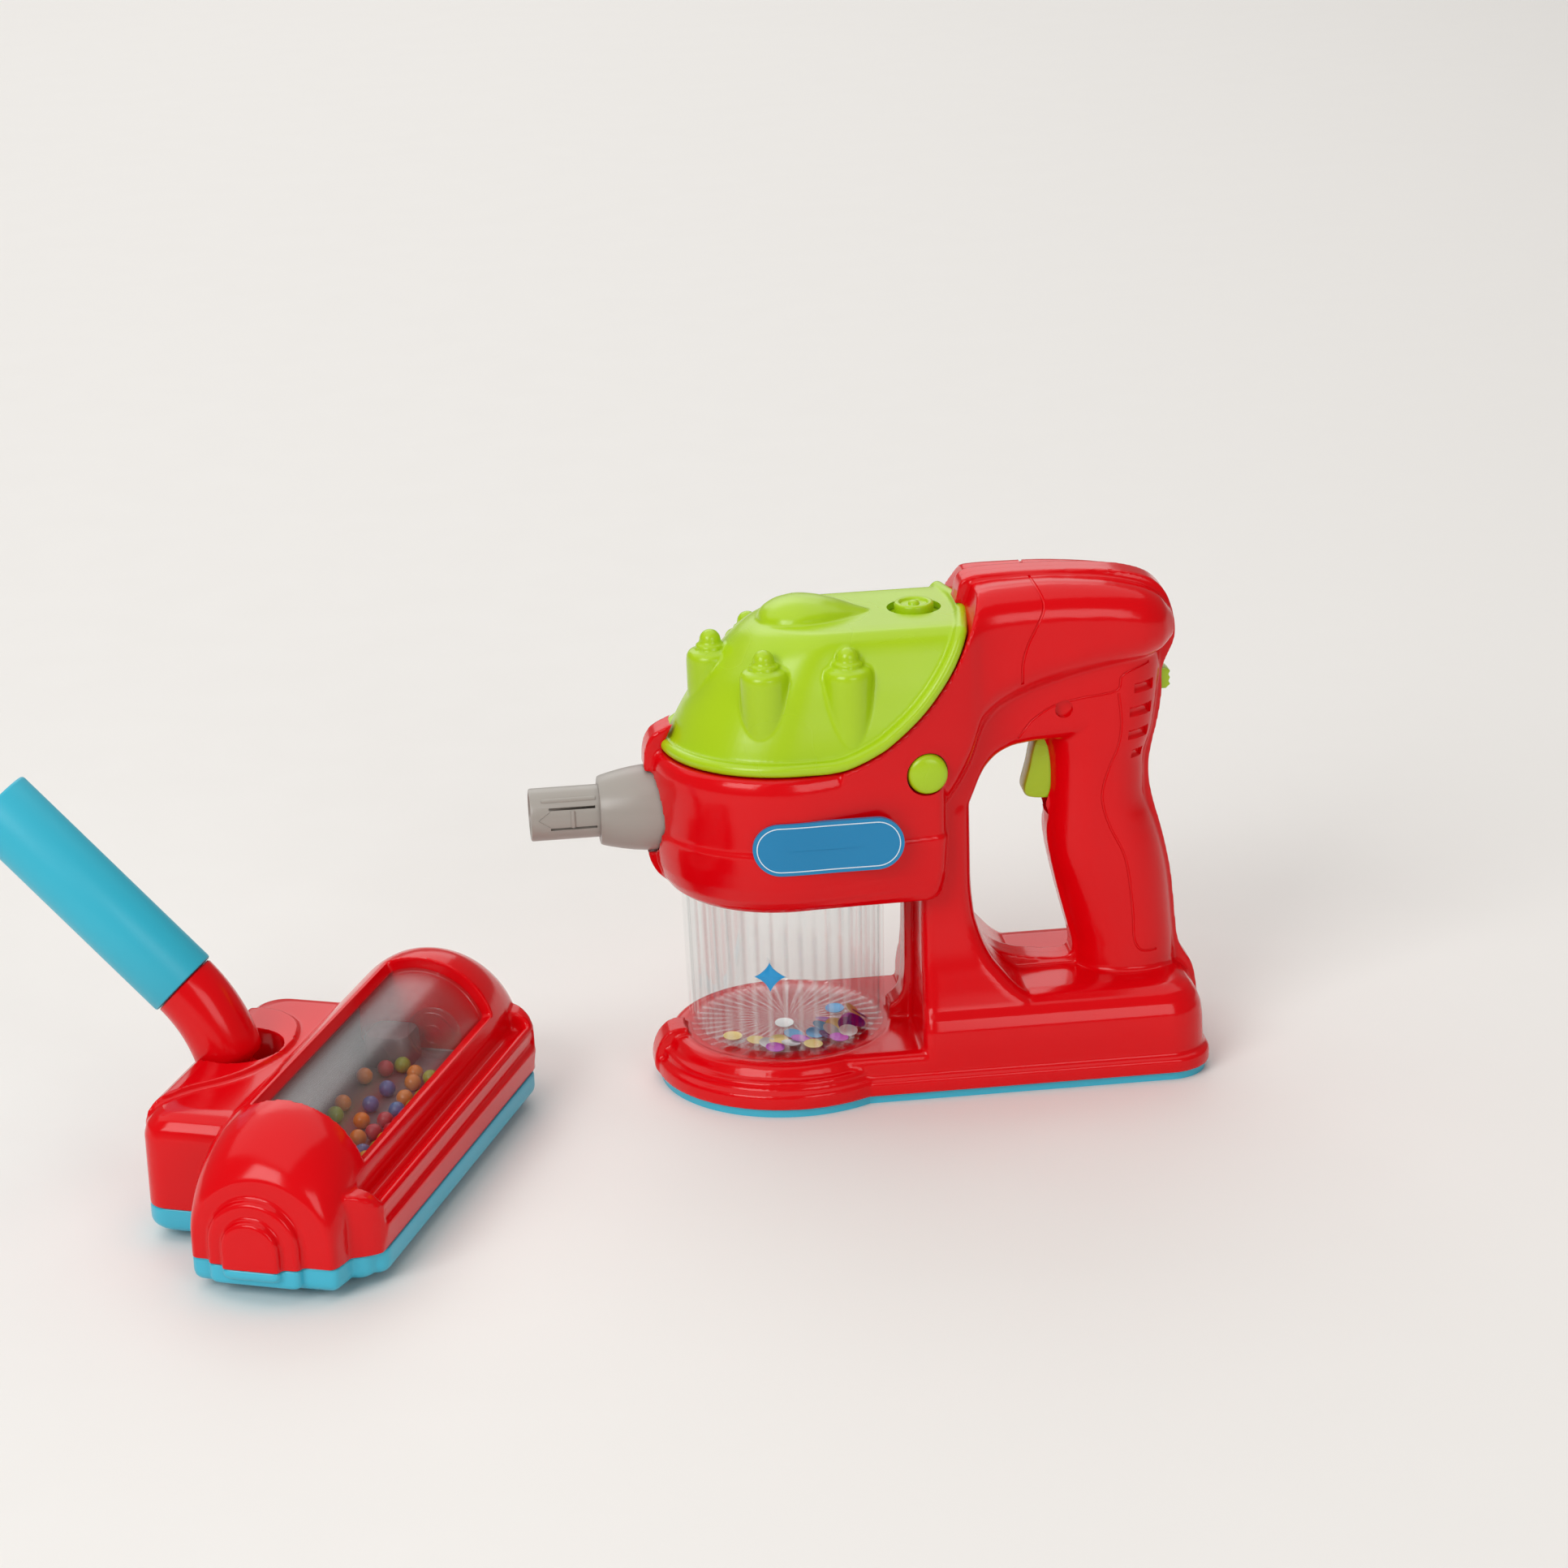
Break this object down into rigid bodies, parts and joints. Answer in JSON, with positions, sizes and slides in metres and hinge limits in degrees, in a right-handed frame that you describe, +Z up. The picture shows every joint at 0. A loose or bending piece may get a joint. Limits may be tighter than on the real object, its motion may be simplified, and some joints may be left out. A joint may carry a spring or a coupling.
{
  "type": "toy vacuum cleaner",
  "caption": "Toy hand vacuum with a clear dust bin, lime dome, loop grip and plug-in nozzle, beside its rolling floor head with ball window and push tube.",
  "frame": {"origin": "middle of the flat underside of the hand unit", "axes": "+X from the nozzle to the grip, +Y to the far side of the hand unit, +Z up"},
  "size_m": [0.442, 0.2175, 0.187],
  "materials": {
    "red_plastic": "glossy moulded red",
    "lime_plastic": "glossy moulded lime green",
    "blue_plastic": "satin moulded sky blue",
    "grey_plastic": "satin warm grey",
    "clear_plastic": "clear styrene",
    "dark_plastic": "matt black",
    "steel": "zinc-plated steel",
    "board": "green circuit board",
    "sticker_blue": "printed gloss sticker",
    "ball_orange": "gloss bead",
    "ball_blue": "gloss bead",
    "ball_red": "gloss bead",
    "ball_yellow": "gloss bead",
    "ball_green": "gloss bead",
    "sequin_gold": "metallised film",
    "sequin_magenta": "metallised film",
    "sequin_blue": "metallised film",
    "sequin_silver": "metallised film",
    "sequin_purple": "metallised film"
  },
  "bodies": {
    "hand_unit": {"housing_near": "red_plastic", "housing_far": "red_plastic", "base_plate": "blue_plastic", "battery_cover": "blue_plastic", "battery_cover_screw": "steel", "battery_box": "dark_plastic", "batteries": "steel", "housing_screws": "steel", "dome_cover": "lime_plastic", "dome_switch": "dark_plastic", "side_switch": "dark_plastic", "slide_switch_body": "dark_plastic", "trigger_pin": "steel", "trigger_switch": "dark_plastic", "nozzle_sleeve": "grey_plastic", "nozzle_plug": "grey_plastic", "dust_bin": "clear_plastic", "bin_cap": "grey_plastic", "sequins_gold": "sequin_gold", "sequins_magenta": "sequin_magenta", "sequins_blue": "sequin_blue", "sequins_silver": "sequin_silver", "sequins_purple": "sequin_purple", "star_sticker": "sticker_blue", "label_sticker": "sticker_blue", "motor": "steel", "motor_plate": "dark_plastic", "sound_board": "board", "speaker": "dark_plastic"},
    "dome_button": {"dome_button": "lime_plastic"},
    "side_button": {"side_button": "lime_plastic"},
    "slide_switch": {"slide_switch": "lime_plastic"},
    "trigger": {"trigger": "lime_plastic"},
    "fan": {"fan_shaft": "steel", "fan": "lime_plastic"},
    "floor_head": {"head_cover": "red_plastic", "head_tray": "blue_plastic", "window": "clear_plastic", "ball_trough": "dark_plastic", "balls_orange": "ball_orange", "balls_blue": "ball_blue", "balls_red": "ball_red", "balls_yellow": "ball_yellow", "balls_green": "ball_green", "neck_pin": "steel", "head_screws": "steel"},
    "front_axle": {"front_axle": "steel", "front_wheels": "blue_plastic", "popper_cam": "lime_plastic"},
    "rear_axle": {"rear_axle": "steel", "rear_wheels": "blue_plastic"},
    "neck": {"neck": "red_plastic"},
    "tube": {"tube": "blue_plastic"}
  },
  "joints": [
    {"name": "head_roll", "type": "slide", "parent": "hand_unit", "child": "floor_head", "axis": [0.9239, -0.3827, 0], "range_m": [-0.06, 0.03]},
    {"name": "neck_tilt", "type": "hinge", "parent": "floor_head", "child": "neck", "pos_m": [-0.2525, -0.05673, 0.033], "axis": [0.3827, 0.9239, 0], "range_deg": [0, 24]},
    {"name": "tube_pull", "type": "slide", "parent": "neck", "child": "tube", "axis": [-0.6646, 0.2753, 0.6947], "range_m": [0, 0.018]},
    {"name": "front_axle_spin", "type": "hinge", "parent": "floor_head", "child": "front_axle", "pos_m": [-0.2113, -0.0738, 0.01], "axis": [0.3827, 0.9239, 0], "continuous": true},
    {"name": "rear_axle_spin", "type": "hinge", "parent": "floor_head", "child": "rear_axle", "pos_m": [-0.25288, -0.05658, 0.008], "axis": [0.3827, 0.9239, 0], "continuous": true},
    {"name": "trigger_pull", "type": "hinge", "parent": "hand_unit", "child": "trigger", "pos_m": [0.054, 0, 0.128], "axis": [0, -1, 0], "range_deg": [0, 6], "stiffness_Nm_per_rad": 1},
    {"name": "side_button_press", "type": "slide", "parent": "hand_unit", "child": "side_button", "axis": [0, 1, 0], "range_m": [0, 0.002], "stiffness_N_per_m": 400},
    {"name": "dome_button_press", "type": "slide", "parent": "hand_unit", "child": "dome_button", "axis": [0, 0, -1], "range_m": [0, 0.002], "stiffness_N_per_m": 400},
    {"name": "power_slide", "type": "slide", "parent": "hand_unit", "child": "slide_switch", "axis": [0, 0, 1], "range_m": [0, 0.003]},
    {"name": "fan_spin", "type": "hinge", "parent": "hand_unit", "child": "fan", "pos_m": [-0.052, 0, 0.09], "axis": [0, 0, 1], "continuous": true}
  ]
}
